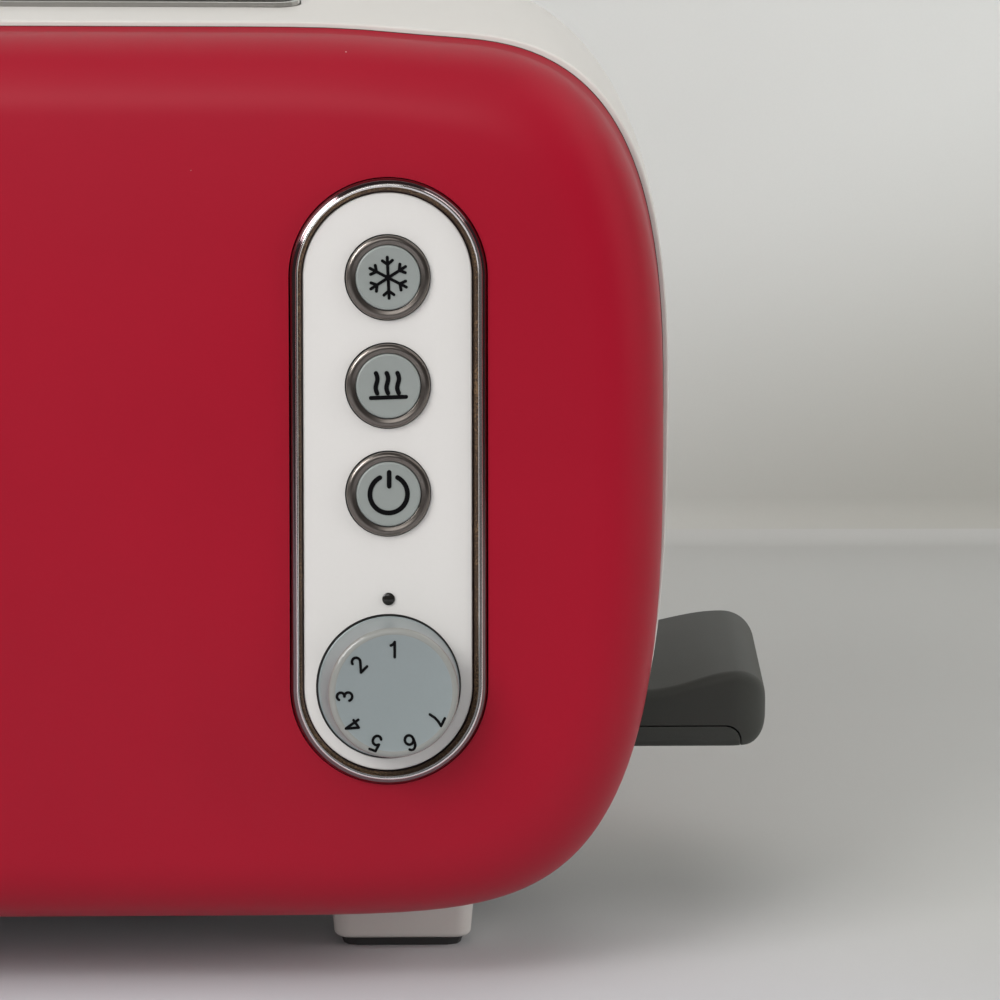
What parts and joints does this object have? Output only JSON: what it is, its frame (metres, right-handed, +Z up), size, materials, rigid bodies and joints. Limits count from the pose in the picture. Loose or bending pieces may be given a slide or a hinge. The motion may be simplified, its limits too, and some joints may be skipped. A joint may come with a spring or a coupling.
{
  "type": "two-slice toaster",
  "caption": "Two-slice toaster with rounded shells round a pale band, a front panel of buttons and a browning dial, and a wide lever at the right end.",
  "frame": {"origin": "on the table under the middle of the whole toaster's bounding box, at the level of the feet's undersides", "axes": "+Z up, the control panel faces -Y, +X towards the lever end, which is on the right as seen from the front"},
  "size_m": [0.2936, 0.1923, 0.2007],
  "materials": {
    "red_shell": "satin moulded plastic",
    "pale_housing": "satin moulded plastic",
    "panel_white": "smooth moulded plastic",
    "chrome": "bright plated",
    "gunmetal": "dark plated",
    "grey_plastic": "fine satin",
    "dark_plastic": "fine matt",
    "black_gloss": "polished",
    "rubber": "soft matt",
    "steel": "bare sheet",
    "mica": "mica sheet wound with heating ribbon",
    "copper": "enamelled copper wire",
    "board_green": "lacquered board"
  },
  "bodies": {
    "body": {"center_housing": "pale_housing", "front_shell": "red_shell", "back_shell": "red_shell", "base_plate": "pale_housing", "slot_liner_front": "steel", "slot_liner_back": "steel", "foot_front_left": "pale_housing", "foot_front_right": "pale_housing", "foot_back_left": "pale_housing", "foot_back_right": "pale_housing", "foot_pad_front_left": "rubber", "foot_pad_front_right": "rubber", "foot_pad_back_left": "rubber", "foot_pad_back_right": "rubber", "foot_screw_front_left": "steel", "foot_screw_front_right": "steel", "foot_screw_back_left": "steel", "foot_screw_back_right": "steel", "end_plate_left": "steel", "end_plate_right": "steel", "heater_front": "mica", "heater_middle": "mica", "heater_back": "mica", "reflector_front": "steel", "reflector_back": "steel", "bread_guard_front_outer": "steel", "bread_guard_front_inner": "steel", "bread_guard_back_outer": "steel", "bread_guard_back_inner": "steel", "guide_rod": "steel", "lift_spring": "steel", "magnet_core": "steel", "magnet_coil": "copper", "panel_bezel": "chrome", "panel_plate": "panel_white", "index_dot": "black_gloss", "button_ring_defrost": "gunmetal", "button_ring_reheat": "gunmetal", "button_ring_cancel": "gunmetal", "switch_defrost": "dark_plastic", "switch_reheat": "dark_plastic", "switch_cancel": "dark_plastic", "potentiometer": "dark_plastic", "control_board": "board_green", "cord_gland": "dark_plastic"},
    "carriage": {"carriage": "steel", "lever_arm": "steel", "lever_cap": "dark_plastic", "lever_insert": "dark_plastic", "bread_rack_front": "steel", "bread_rack_back": "steel"},
    "crumb_tray": {"crumb_tray": "steel", "tray_handle": "pale_housing"},
    "dial": {"dial_knob": "grey_plastic", "dial_shaft": "steel"},
    "button_defrost": {"button_defrost": "grey_plastic"},
    "button_reheat": {"button_reheat": "grey_plastic"},
    "button_cancel": {"button_cancel": "grey_plastic"}
  },
  "joints": [
    {"name": "carriage_slide", "type": "slide", "parent": "body", "child": "carriage", "axis": [0, 0, 1], "range_m": [0, 0.06], "deforming": ["lift_spring"]},
    {"name": "crumb_tray_slide", "type": "slide", "parent": "body", "child": "crumb_tray", "axis": [-1, 0, 0], "range_m": [0, 0.15]},
    {"name": "dial_turn", "type": "hinge", "parent": "body", "child": "dial", "pos_m": [0.06016, -0.08201, 0.06565], "axis": [-0.0451, 0.993, -0.109], "range_deg": [0, 240]},
    {"name": "defrost_press", "type": "slide", "parent": "body", "child": "button_defrost", "axis": [-0.0451, 0.993, -0.109], "range_m": [0, 0.0015], "stiffness_N_per_m": 400, "springref_m": -0.001},
    {"name": "reheat_press", "type": "slide", "parent": "body", "child": "button_reheat", "axis": [-0.0451, 0.993, -0.109], "range_m": [0, 0.0015], "stiffness_N_per_m": 400, "springref_m": -0.001},
    {"name": "cancel_press", "type": "slide", "parent": "body", "child": "button_cancel", "axis": [-0.0451, 0.993, -0.109], "range_m": [0, 0.0015], "stiffness_N_per_m": 400, "springref_m": -0.001}
  ]
}
